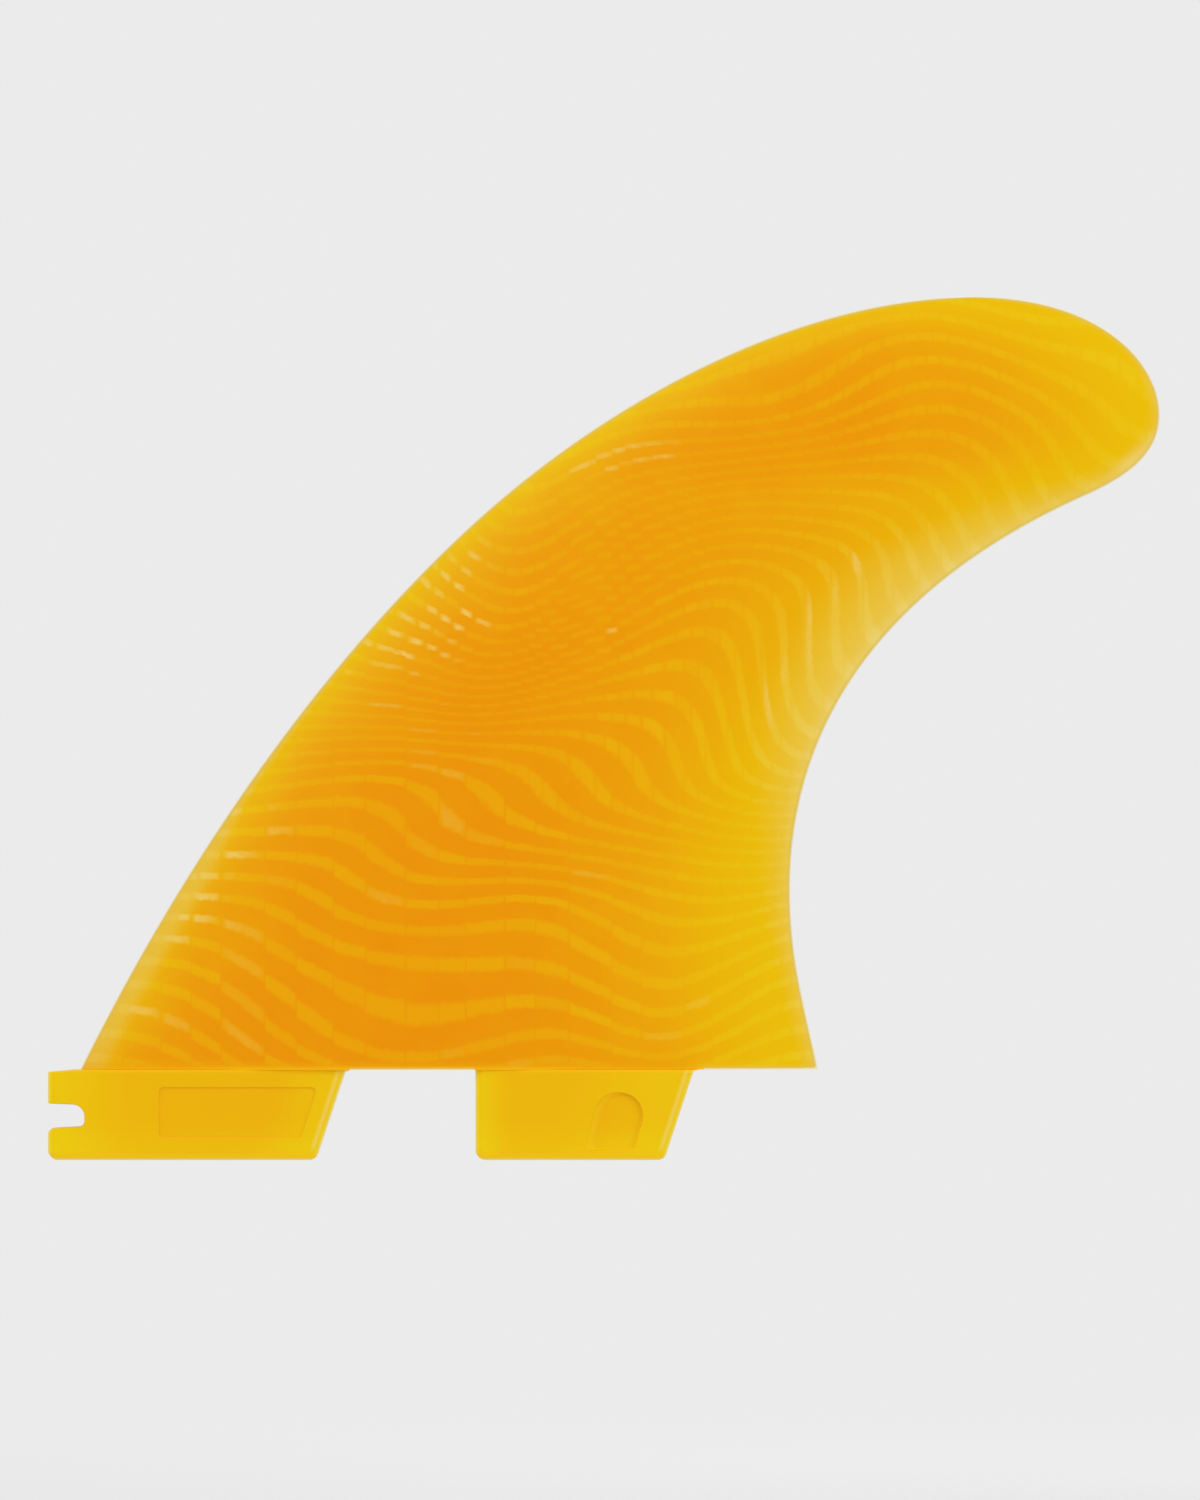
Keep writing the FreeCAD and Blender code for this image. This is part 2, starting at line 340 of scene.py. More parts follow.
def ripple_count(x, z):
    """running number of the ripple line at a place in side view, in millimetres.

    Level lines one pitch apart, on a sheet that is tilted and then lifted or pressed
    down by swells.
    """
    lift = RIPPLE_START + RIPPLE_TILT[0] * x + RIPPLE_TILT[1] * z
    for *swell, height in SWELLS:
        lift = lift + height * bell(x, z, *swell)
    return (z + lift) / RIPPLE_PITCH


def blade_rows(leading, trailing):
    """rows of points round the foiled blade, and how deep the resin looks at each point.

    Each row is a section parallel to the base: out along the foiled side, whose thickness
    is the foil's shape times the row's thickness, round the trailing edge in a half
    circle, and back along the flat side, which lifts off at the nose by the square of
    what is left to it. Rows are spaced by a sine, closer towards the apex, and the
    first ones follow a quarter circle inwards, as the rim of the base does. The depth is
    the thickness, raised by a power of how far the blade has tapered and closed.
    """
    turn = np.linspace(math.pi / 2, 0, RIM_STEPS)
    rim_z = BASE_RIM_ROUND * (1 - np.sin(turn))
    rim_inset = BASE_RIM_ROUND * (1 - np.cos(turn))
    rise = np.linspace(0, 1, BLADE_ROWS)[1:-1]
    wall_z = BASE_RIM_ROUND + (DEPTH - BASE_RIM_ROUND) * np.sin(math.pi / 2 * rise)
    base_inset = BASE_RIM_ROUND * np.array(BASE_INSETS)
    z = np.concatenate([base_inset * 0, rim_z, wall_z])[:, None]
    inset = np.concatenate([base_inset, rim_inset, wall_z * 0])[:, None]
    closing = np.sqrt(np.clip(1 - (z / DEPTH) ** CLOSING_POWER, 0, 1))
    taper = BASE_THICKNESS + (TIP_THICKNESS - BASE_THICKNESS) * z / DEPTH
    thickness = taper * closing
    edge = TRAILING_THICKNESS * closing

    def narrowed(gap):
        return gap ** 2 / (gap + 2 * inset + TINY)

    half_edge = narrowed(edge) / 2
    front = leading(z) + inset
    back = trailing(z) - inset - half_edge
    step = np.linspace(0, 1, FOIL_STEPS)[None, :]
    share = step ** 2
    chord_x = front + (back - front) * share
    lift = NOSE_LIFT_SHARE * thickness * np.clip(1 - step / math.sqrt(NOSE_SHARE), 0, 1) ** 2
    inner_y = FLAT_Y - inset - lift
    gap = thickness * foil_shape(share) + edge * share
    outer_y = inner_y - narrowed(gap)
    around = np.linspace(-math.pi / 2, math.pi / 2, TRAILING_STEPS + 1)[None, 1:-1]
    round_x = back + half_edge * np.cos(around)
    round_y = FLAT_Y - inset - half_edge + half_edge * np.sin(around)
    ring_x = np.concatenate([chord_x, round_x, chord_x[:, :0:-1]], 1)
    ring_y = np.concatenate([outer_y, round_y, inner_y[:, :0:-1]], 1)
    ring_z = np.broadcast_to(z, ring_x.shape)
    ring_gap = np.concatenate([gap, np.repeat(gap[:, -1:] / 2, round_x.shape[1], 1), gap[:, :0:-1]], 1)
    middle = (outer_y + inner_y)[:1] / 2
    round_middle = np.broadcast_to((FLAT_Y - inset - half_edge)[:1], round_y[:1].shape)
    middle_y = np.concatenate([middle, round_middle, middle[:, :0:-1]], 1)
    base_row = np.stack([ring_x[:1], middle_y, ring_z[:1]], -1)
    apex = np.broadcast_to([leading(DEPTH), FLAT_Y, DEPTH], base_row.shape)
    rows = np.concatenate([base_row, np.stack([ring_x, ring_y, ring_z], -1), apex])
    tapered = (BASE_THICKNESS / taper) ** TAPER_DEEPENING
    depth = ring_gap * tapered / np.maximum(closing, LEAST_CLOSING) ** APEX_DEEPENING
    return rows, np.concatenate([depth[:1], depth, depth[-1:] * 0])


def make_blade(material):
    """the foiled blade.

    Its points keep the number of the ripple line, how fast that changes along the blade
    and in all, the depth of the resin, the distances from the edges with the reach of
    the pale resin there, and how bleached they are and how much painted light shines
    through.
    """
    leading, trailing = blade_edges()
    rows, depth = blade_rows(leading, trailing)
    points = rows.reshape(-1, 3)
    x, z = points[:, 0], points[:, 2]
    run = (ripple_count(x + SLOPE_STEP, z) - ripple_count(x - SLOPE_STEP, z)) / (2 * SLOPE_STEP)
    rise = (ripple_count(x, z + SLOPE_STEP) - ripple_count(x, z - SLOPE_STEP)) / (2 * SLOPE_STEP)
    from_front, from_rear = edge_distance(leading, x, z), edge_distance(trailing, x, z)
    on_tab = (x < FRONT_TAB_REAR) | ((x > REAR_TAB_FRONT) & (x < REAR_TAB_REAR))
    from_base = z * np.where(x > REAR_TAB_REAR, 1.0, GAP_NARROWING) + on_tab * DEPTH
    piece = mesh_piece("blade", points, grid_faces(*rows.shape[:2]), material, {
        "ripple": ripple_count(x, z),
        "ripple_run": run,
        "crowding": np.hypot(run, rise),
        "depth": depth.reshape(-1),
        "from_edge": np.minimum(np.minimum(from_front, from_rear), from_base),
        "front_share": from_front / np.interp(z, *zip(*PALE_FRONT)),
        "from_rear": from_rear,
        "rear_reach": np.interp(z, *zip(*PALE_REAR)),
        "bleaching": sum(bell(x, z, *place) for place in BLEACHED),
        "glare": bell(x, z, *TIP_GLARE),
    })
    close(piece)
    return piece


def outline(corners, inset=0.0):
    """closed outline in side view, with every corner an arc of the same step count.

    A corner is x, z, radius and how much of the inset the edge after it takes. Corners
    run anticlockwise. Each edge moves inward along its normal, and a corner is where its
    two moved edges meet.
    """
    place = np.array([c[:2] for c in corners], float)
    radius = np.array([c[2] for c in corners], float)
    share = np.array([c[3] for c in corners], float)
    leave = np.roll(place, -1, 0) - place
    leave /= np.linalg.norm(leave, axis=1)[:, None]
    arrive = np.roll(leave, 1, 0)
    normal_leave = np.stack([-leave[:, 1], leave[:, 0]], -1)
    normal_arrive = np.roll(normal_leave, 1, 0)
    moves = np.stack([np.roll(share, 1), share], -1) * inset
    normals = np.stack([normal_arrive, normal_leave], 1)
    moved = place + np.linalg.solve(normals, moves[..., None])[..., 0]
    turn = np.arctan2(arrive[:, 0] * leave[:, 1] - arrive[:, 1] * leave[:, 0],
                      np.sum(arrive * leave, 1))
    side = np.sign(turn)
    radius = np.maximum(radius - side * moves.min(1), SHARP_ROUND)
    start = moved - arrive * (radius * np.tan(np.abs(turn) / 2))[:, None]
    centre = start + normal_arrive * (side * radius)[:, None]
    angle = turn[:, None] * np.linspace(0, 1, ARC_STEPS + 1)[None, :]
    cos, sin = np.cos(angle), np.sin(angle)
    arm = -normal_arrive * (side * radius)[:, None]
    arcs = np.stack([centre[:, :1] + arm[:, :1] * cos - arm[:, 1:] * sin,
                     centre[:, 1:] + arm[:, :1] * sin + arm[:, 1:] * cos], -1)
    return arcs.reshape(-1, 2)


def at_depth(loop, y):
    """a side-view outline as points at a depth in Y"""
    return np.stack([loop[:, 0], np.full(len(loop), y), loop[:, 1]], -1)


def tab_rings(corners):
    """rings round a tab: quarter circles at both rims with the straight wall between"""
    turn = np.linspace(0, math.pi / 2, RIM_STEPS)
    inset = TAB_RIM_ROUND * (1 - np.cos(turn))
    y = TAB_THICKNESS / 2 - TAB_RIM_ROUND * (1 - np.sin(turn))
    inset = np.append(inset, TAB_RIM_ROUND * FLAT_INSET)
    y = np.append(y, TAB_THICKNESS / 2)
    low = [at_depth(outline(corners, i), -d) for i, d in zip(inset[::-1], y[::-1])]
    high = [at_depth(outline(corners, i), d) for i, d in zip(inset, y)]
    return low + high


def recess_rings(mouth, floor, side, sink):
    """rings of a shallow recess: an eased mouth, a sloped wall and a rounded foot"""
    rings = []
    for across, down in EASED_WALL:
        outside, within = min(across, 0), max(across - 1, 0)
        blend = min(max(across, 0), 1)
        top = outline(mouth, outside * MOUTH_EASE)
        foot = outline(floor, within * FOOT_EASE)
        loop = top * (1 - blend) + foot * blend
        rings.append(at_depth(loop, side * (TAB_THICKNESS / 2 - down * sink)))
    return rings


def make_tab(name, corners, recesses, front_x, rear_x, reaches, material):
    """a tab from its outline and its recesses.

    A recess is its side, -1 or 1, and its rings from the mouth down to the floor. The
    flat areas round the mouths and on the floors are filled in the plane. Each point
    keeps its distance from the front, from the slanted rear edge and from the foot, the
    first two also as shares of how far the tab is lighter there by painted glow. It keeps
    how far it is sunk, and how much painted light its recess wall takes against the
    shade there: a parabola over the way down, times the square of the sine of the wall's
    slope.
    """
    stacks = [tab_rings(corners)] + [rings for _, rings in recesses]
    points, sunk, wall_lightening, faces, loops, start = [], [], [], [], [], 0
    for rings in stacks:
        count = len(rings[0])
        points.extend(rings)
        down = [(TAB_THICKNESS / 2 - np.abs(ring[:, 1])) * (start > 0) for ring in rings]
        deepest = max(down[-1].max(), SHARP_ROUND)
        run = np.hypot(*(rings[WALL_TOP] - rings[WALL_FOOT])[:, ::2].T)
        steep = deepest ** 2 / (deepest ** 2 + run ** 2)
        sunk.extend(down)
        # How much painted light a recess wall gets against its shade
        wall_lightening.extend(4 * d * (deepest - d) / deepest ** 2 * steep for d in down)
        faces.append(grid_faces(len(rings), count) + start)
        first = np.arange(count) + start
        loops.append((first, first + count * (len(rings) - 1)))
        start += count * len(rings)
    flats = []
    for side, face in ((-1, loops[0][0]), (1, loops[0][1])):
        mouths = [mouth for (mouth, _), (s, _) in zip(loops[1:], recesses) if s == side]
        flats.append([face] + mouths)
    flats += [[floor] for _, floor in loops[1:]]
    points = np.concatenate(points)
    slant = math.radians(TAB_REAR_SLANT)
    from_front = points[:, 0] - front_x
    from_rear = (rear_x - points[:, 0]) * math.cos(slant) + points[:, 2] * math.sin(slant)
    piece = mesh_piece(name, points, np.concatenate(faces), material, {
        "front_share": from_front / reaches[0],
        "rear_share": from_rear / reaches[1],
        "from_front": from_front,
        "from_rear": from_rear,
        "from_foot": points[:, 2] + TAB_DEPTH,
        "sunk": np.concatenate(sunk),
        "wall_lightening": np.concatenate(wall_lightening),
    })
    close(piece, flats)
    return piece


def slant_run(depth, slant):
    """how far a slanted edge runs forward on its way down"""
    return depth * math.tan(math.radians(slant))


def root_corners(rear_x):
    """the fillet between a tab's slanted rear edge and the underside of the blade"""
    start_x = rear_x - slant_run(ROOT_START, TAB_REAR_SLANT)
    run = ROOT_START / math.tan(math.radians(ROOT_ANGLE))
    return [(start_x, -ROOT_START, ROOT_FILLET, 0), (start_x + run, 0, SHARP_ROUND, 0)]


def make_front_tab(material):
    """the front tab, with its hook notch and its blank panel"""
    rear_x = FRONT_TAB_REAR
    notch_x = NOSE_X + NOTCH_DEPTH
    low = NOTCH_TOP + NOTCH_HEIGHT
    corners = [
        (NOSE_X, -LEAD_DROP, SHARP_ROUND, 1),
        (NOSE_X, -NOTCH_TOP + LIP_SLOPES[0], LIP_ROUNDS[0], NOTCH_EASE),
        (notch_x, -NOTCH_TOP, NOTCH_ROUNDS[0], NOTCH_EASE),
        (notch_x, -low, NOTCH_ROUNDS[1], NOTCH_EASE),
        (NOSE_X, -low - LIP_SLOPES[1], LIP_ROUNDS[1], 1),
        (NOSE_X, -TAB_DEPTH, FRONT_CORNER, 1),
        (rear_x - slant_run(TAB_DEPTH, TAB_REAR_SLANT), -TAB_DEPTH, REAR_CORNER, 1),
    ] + root_corners(rear_x) + [(NOSE_X + LEAD_SLOPE_LENGTH, 0, SHARP_ROUND, NOTCH_EASE)]
    left_x = NOSE_X + PANEL_FROM_NOSE
    right_x = left_x + PANEL_LENGTH
    foot = PANEL_TOP + PANEL_HEIGHT
    panel = [
        (left_x, -PANEL_TOP, PANEL_CORNER, 1),
        (left_x, -foot, PANEL_CORNER, 1),
        (right_x - slant_run(foot, TAB_REAR_SLANT), -foot, PANEL_CORNER, 1),
        (right_x - slant_run(PANEL_TOP, TAB_REAR_SLANT), -PANEL_TOP, PANEL_CORNER, 1),
    ]
    recess = (-1, recess_rings(panel, panel, -1, PANEL_SINK))
    return make_tab("front_tab", corners, [recess], NOSE_X, rear_x, FRONT_TAB_GLOW, material)


def latch_corners(centre_x, ramp, draft):
    """the latch recess in side view: slanted, with a round top"""
    front_x = centre_x - LATCH_WIDTH / 2 - draft - ramp
    rear_x = centre_x + LATCH_WIDTH / 2 + draft
    top_z, foot_z = draft - LATCH_TOP, -draft - LATCH_BOTTOM
    run = slant_run(top_z - foot_z, LATCH_SLANT)
    low, high = math.radians(45 - LATCH_SLANT / 2), math.radians(45 + LATCH_SLANT / 2)
    full_round = (rear_x - front_x) / (1 / math.tan(low) + 1 / math.tan(high))
    top_round = LATCH_ROUNDNESS * full_round
    return [(front_x, top_z, top_round, 1), (front_x - run, foot_z, LATCH_FOOT_ROUND, 1),
            (rear_x - run, foot_z, LATCH_FOOT_ROUND, 1), (rear_x, top_z, top_round, 1)]


def make_rear_tab(material):
    """the rear tab, with a latch recess in each side"""
    front_x, rear_x = REAR_TAB_FRONT, REAR_TAB_REAR
    corners = [
        (front_x, 0, SHARP_ROUND, 1),
        (front_x, -TAB_DEPTH, FRONT_CORNER, 1),
        (rear_x - slant_run(TAB_DEPTH, TAB_REAR_SLANT), -TAB_DEPTH, REAR_CORNER, 1),
    ] + root_corners(rear_x)
    centre_x = front_x + LATCH_FROM_FRONT
    mouth = latch_corners(centre_x, LATCH_RAMP, LATCH_DRAFT)
    floor = latch_corners(centre_x, 0, 0)
    recesses = [(side, recess_rings(mouth, floor, side, LATCH_SINK)) for side in (-1, 1)]
    return make_tab("rear_tab", corners, recesses, front_x, rear_x, REAR_TAB_GLOW, material)


def new_material(name):
    """an empty node material and its tree"""
    material = bpy.data.materials.new(name)
    material.use_nodes = True
    material.node_tree.nodes.clear()
    return material, material.node_tree


def add(tree, kind, inputs=(), stops=(), **settings):
    """adds a node with its settings and links.

    An input is a value, a socket, or a node, whose first output in use then feeds it.
    Stops are the places and hex colours of a ramp.
    """
    node = tree.nodes.new("ShaderNode" + kind)
    for name, value in settings.items():
        setattr(node, name, value)
    for number, (place, colour) in enumerate(stops):
        elements = node.color_ramp.elements
        element = elements[number] if number < len(elements) else elements.new(1)
        element.position, element.color = place, linear(colour)
    for socket, value in inputs.items() if isinstance(inputs, dict) else enumerate(inputs):
        if isinstance(value, bpy.types.Node):
            value = next(output for output in value.outputs if not output.is_unavailable)
        if isinstance(value, bpy.types.NodeSocket):
            tree.links.new(value, node.inputs[socket])
        else:
            node.inputs[socket].default_value = value
    return node


# Settings that many nodes share
SMOOTH = {"interpolation_type": "SMOOTHSTEP"}
COLOURS = {"data_type": "RGBA"}

# In the materials, four numbers, or two with 0 and 1 understood, are a fade: where it
# starts and ends, and how strong it is at each. Lengths are in millimetres.

# Cloth: strips of uneven width, frayed lines, and how many wanders and frays a millimetre has
STRIP_WIDTH = 5.2
STRIP_WANDER = 4.0
WANDER_SCALE = 0.1
FRAY_SCALE = 0.9
FRAY_SHIFT = 0.16

# Where lines step at the strips, by resin depth and by x plus z, and where they crowd, by
# lines to a millimetre
STEPS_IN_DEPTH = (1.0, 3.5)
STEPS_IN_PLACE = (35.0, 75.0, 1.0, 0.0)
CROWDED = (0.3, 0.55)

# How far a line keeps its level within a strip, more where lines crowd, and within a
# crowded half strip
STRIP_HOLD = 0.18
CROWDED_HOLD = 0.3
HALF_STRIP_HOLD = 0.8

# Lines: how wide, how uneven by chance, weaker at joints by place in a strip, and their
# strength by height, by depth and where they crowd
CREST = (0.05, 0.85)
LEAST_LINE = 0.68
LINE_CHANCE = 0.45
CROWDED_LOSS = -0.45
STRIP_JOINT = (0.455, 0.49, 0.0, -0.6)
HALF_STRIP_JOINT = (0.32, 0.5, 0.0, -0.6)
SOFTER_UP = (50.0, 85.0, 1.0, 0.75)
STRONGER_AT_TIP = (92.0, 108.0, 0.0, 0.18)
FULLER_IN_DEPTH = (3.5, 6.3, 0.62, 0.92)

# Pale bits of lines: how narrow, how long in a strip and in a half strip, and how joined
BIT_CREST = (0.3, 1.0)
STRIP_BIT = (0.3, 0.48, 1.0, 0.0)
HALF_STRIP_BIT = (0.1, 0.5, 1.0, 0.0)
CURLS_UP = (80.0, 88.0, 0.0, 0.7)

# Dashes show as bleaching exceeds chance, from a start, lower for whole strips, to an end.
# Flecks show where luck exceeds a value.
DASH_START = -0.05
STRIP_START = -0.15
DASH_END = 0.5
WORN = (0.35, 0.6, 0.6, 1.0)
FLECK_LUCK = 0.994
FLECKS_UP = (60.0, 72.0)


def cloth_strips(tree, x, ripple):
    """a place's strip and half strip, by number, and how far off their middles it is.

    The strips stand upright. They are of uneven width, because x wanders by slow noise
    before it is cut into strips. Half strips are shifted by half their width from one
    line of the ripple to the next, as bricks are.
    """
    slow_x = add(tree, "Math", (x, WANDER_SCALE), operation="MULTIPLY")
    wander = add(tree, "TexNoise", {"W": slow_x, "Scale": 1.0, "Detail": 0.0}, noise_dimensions="1D")
    wandered = add(tree, "Math", (wander, STRIP_WANDER, x), operation="MULTIPLY_ADD")
    strips = add(tree, "Math", (wandered, STRIP_WIDTH), operation="DIVIDE")
    row = add(tree, "Math", (ripple,), operation="ROUND")
    halves = add(tree, "Math", (strips, 2.0), operation="MULTIPLY")
    halves = add(tree, "Math", (row, 0.5, halves), operation="MULTIPLY_ADD")
    found = []
    for widths in (strips, halves):
        found.append(add(tree, "Math", (widths,), operation="FLOOR"))
        part = add(tree, "Math", (widths,), operation="FRACT")
        found.append(add(tree, "Math", (part, 0.5), operation="SUBTRACT"))
    return found


def cloth_lines(tree, place, depth):
    """how strongly a line, a pale dash and a fleck of the cloth show at a place.

    A line is the crest of a cosine over the ripple's running number, frayed by noise. In
    thick resin low on the blade it holds its level within a strip, so it steps from one
    to the next, and it is weak at the joint between them. Elsewhere it breaks at half
    strips, and steps there where lines crowd. Dashes and flecks are narrow bits of a
    line, as long as a strip where lines step and half a strip elsewhere, and picked by
    chance: dashes where the blade is bleached, joined into curls high up, and flecks
    anywhere in its upper half.
    """
    parts = add(tree, "SeparateXYZ", (place,)).outputs
    x, height = parts["X"], parts["Z"]
    ripple, run, crowding, bleaching = [
        add(tree, "Attribute", attribute_name=name).outputs["Fac"]
        for name in ("ripple", "ripple_run", "crowding", "bleaching")]
    strip, off_middle, half, off_half = cloth_strips(tree, x, ripple)
    from_middle = add(tree, "Math", (off_middle,), operation="ABSOLUTE")
    from_half = add(tree, "Math", (off_half,), operation="ABSOLUTE")
    crowded = add(tree, "MapRange", (crowding, *CROWDED), **SMOOTH)
    thick = add(tree, "MapRange", (depth, *STEPS_IN_DEPTH), **SMOOTH)
    from_corner = add(tree, "Math", (x, height), operation="ADD")
    stepped = add(tree, "MapRange", (from_corner, *STEPS_IN_PLACE), **SMOOTH)
    stepped = add(tree, "Math", (stepped, thick), operation="MULTIPLY")

    # The line that a place counts to, held back or on within its strip, and its crest
    hold = add(tree, "Math", (crowded, CROWDED_HOLD, STRIP_HOLD), operation="MULTIPLY_ADD")
    hold = add(tree, "Math", (hold, stepped), operation="MULTIPLY")
    held = add(tree, "Math", (off_middle, -STRIP_WIDTH), operation="MULTIPLY")
    held = add(tree, "Math", (held, hold), operation="MULTIPLY")
    loose = add(tree, "Math", (1.0, stepped), operation="SUBTRACT")
    loose = add(tree, "Math", (loose, crowded), operation="MULTIPLY")
    loose = add(tree, "Math", (loose, -STRIP_WIDTH / 2 * HALF_STRIP_HOLD), operation="MULTIPLY")
    held = add(tree, "Math", (off_half, loose, held), operation="MULTIPLY_ADD")
    count = add(tree, "Math", (run, held, ripple), operation="MULTIPLY_ADD")
    fray = add(tree, "TexNoise", {"Vector": place, "Scale": FRAY_SCALE, "Detail": 2.0})
    frayed = add(tree, "Math", (fray, 0.5), operation="SUBTRACT")
    count = add(tree, "Math", (frayed, FRAY_SHIFT, count), operation="MULTIPLY_ADD")
    turn = add(tree, "Math", (count, 2 * math.pi), operation="MULTIPLY")
    wave = add(tree, "Math", (turn,), operation="COSINE")
    line = add(tree, "MapRange", (wave, *CREST), **SMOOTH)

    # The line's strength: one chance for each strip and line, one for each half strip
    number = add(tree, "Math", (count,), operation="ROUND")
    stretch = add(tree, "CombineXYZ", {"X": strip, "Y": number})
    chance = add(tree, "TexWhiteNoise", {"Vector": stretch}, noise_dimensions="2D")
    spot = add(tree, "CombineXYZ", {"X": half, "Y": number, "Z": 1.0})
    luck = add(tree, "TexWhiteNoise", {"Vector": spot}, noise_dimensions="3D")
    uneven = add(tree, "Mix", {"Factor": stepped, "A": luck, "B": chance})
    uneven = add(tree, "Math", (uneven, LINE_CHANCE, LEAST_LINE), operation="MULTIPLY_ADD")
    faint = add(tree, "Math", (crowded, CROWDED_LOSS, 1.0), operation="MULTIPLY_ADD")
    joint = add(tree, "MapRange", (from_middle, *STRIP_JOINT), **SMOOTH)
    nick = add(tree, "MapRange", (from_half, *HALF_STRIP_JOINT), **SMOOTH)
    joint = add(tree, "Mix", {"Factor": stepped, "A": nick, "B": joint})
    joint = add(tree, "Math", (joint, 1.0), operation="ADD")
    softer = add(tree, "MapRange", (height, *SOFTER_UP), **SMOOTH)
    at_tip = add(tree, "MapRange", (height, *STRONGER_AT_TIP), **SMOOTH)
    softer = add(tree, "Math", (softer, at_tip), operation="ADD")
    fuller = add(tree, "MapRange", (depth, *FULLER_IN_DEPTH), **SMOOTH)
    for strength in (uneven, fuller, faint, joint, softer):
        line = add(tree, "Math", (line, strength), operation="MULTIPLY")

    # Pale bits of the line, as dashes and as flecks
    whole = add(tree, "Math", (stepped, 0.5), operation="GREATER_THAN")
    long = add(tree, "MapRange", (from_middle, *STRIP_BIT), **SMOOTH)
    short = add(tree, "MapRange", (from_half, *HALF_STRIP_BIT), **SMOOTH)
    joined = add(tree, "MapRange", (height, *CURLS_UP), **SMOOTH)
    short = add(tree, "Math", (short, joined), operation="MAXIMUM")
    bit = add(tree, "Mix", {"Factor": whole, "A": short, "B": long})
    narrow = add(tree, "MapRange", (wave, *BIT_CREST), **SMOOTH)
    bit = add(tree, "Math", (bit, narrow), operation="MULTIPLY")
    chosen = add(tree, "Mix", {"Factor": whole, "A": luck, "B": chance})
    picked = add(tree, "Math", (bleaching, chosen), operation="SUBTRACT")
    least = add(tree, "Math", (whole, STRIP_START, DASH_START), operation="MULTIPLY_ADD")
    picked = add(tree, "MapRange", (picked, least, DASH_END), **SMOOTH)
    worn = add(tree, "MapRange", (fray, *WORN), **SMOOTH)
    dash = add(tree, "Math", (picked, bit), operation="MULTIPLY")
    dash = add(tree, "Math", (dash, worn), operation="MULTIPLY")
    rare = add(tree, "Math", (luck, FLECK_LUCK), operation="GREATER_THAN")
    upper = add(tree, "MapRange", (height, *FLECKS_UP), **SMOOTH)
    fleck = add(tree, "Math", (rare, bit), operation="MULTIPLY")
    fleck = add(tree, "Math", (fleck, upper), operation="MULTIPLY")
    return line, dash, fleck


# Resin by its share of the deepest, between the lines and in them
DEEPEST = 7.0
GROUND_SHADES = [(0.0, "#ECC80E"), (0.1, "#ECC000"), (0.2, "#ECBC00"), (0.32, "#ECB400"),
                 (0.46, "#ECA800"), (0.62, "#EC9C00"), (0.88, "#EC9100")]
LINE_SHADES = [(0.0, "#EDD420"), (0.1, "#EDCE08"), (0.2, "#EDC900"), (0.34, "#ECC200"),
               (0.5, "#ECB800"), (0.68, "#ECAD00"), (0.9, "#ECA500")]

# Clouds in the resin and painted glow above the base, which lighten it
CLOUD_SCALE = 0.12
CLOUDS = (0.35, 0.7, 0.0, 0.25)
BASE_GLOW = (0.0, 2.2, 0.8, 0.0)

# Trailing edge: yellow, then pale, stronger where the pale reaches far in and at the edge.
# The two sets are yellow, pale, reach and strength, for the ground and for the lines.
YELLOW_REACH = 14.0
PALE_STRENGTH = 0.16
PALE_GAIN = 0.042
EDGE_GAIN = (0.6, 2.6, 1.5, 1.0)
PALE_POWER = 1.7
GROUND_REAR = ("#EBBE00", "#EBD06C", 0.9, 0.77)
LINE_REAR = ("#ECC812", "#EFD77C", 1.2, 1.0)

# Leading edge, by share of the reach of its pale resin, and that resin's two shades
FRONT_HAZE = (0.4, 1.3, 0.9, 0.0)
GROUND_FRONT = "#EABF3C"
LINE_FRONT = "#EDC752"

# What lies over that: painted glare under the tip, dashes by height, flecks, painted glow
# at the joint with the tabs against the shade there, and a painted shade line and then a
# painted highlight line along the edges
GLARE = 0.4
DASHES = (68.0, 88.0, 0.75, 0.42)
FLECKS = 0.6
BLADE_JOINT_GLOW = (0.0, 0.7, 0.6, 0.0)
BLADE_EDGE_SHADING = (0.2, 0.75, 0.75, 0.0)
BLADE_EDGE_HIGHLIGHT = (0.05, 0.3, 0.9, 0.0)

# Gloss of the two materials, and the resin's dents: how many a millimetre has, and how deep
ROUGHNESS = 0.32
PLASTIC_IOR = 1.5
RESIN_SPECULAR = 0.055
NYLON_SPECULAR = 0.08
PEEL_SCALE = 0.35
PEEL_BUMP = {"Strength": 0.06, "Distance": 0.2 * MM}


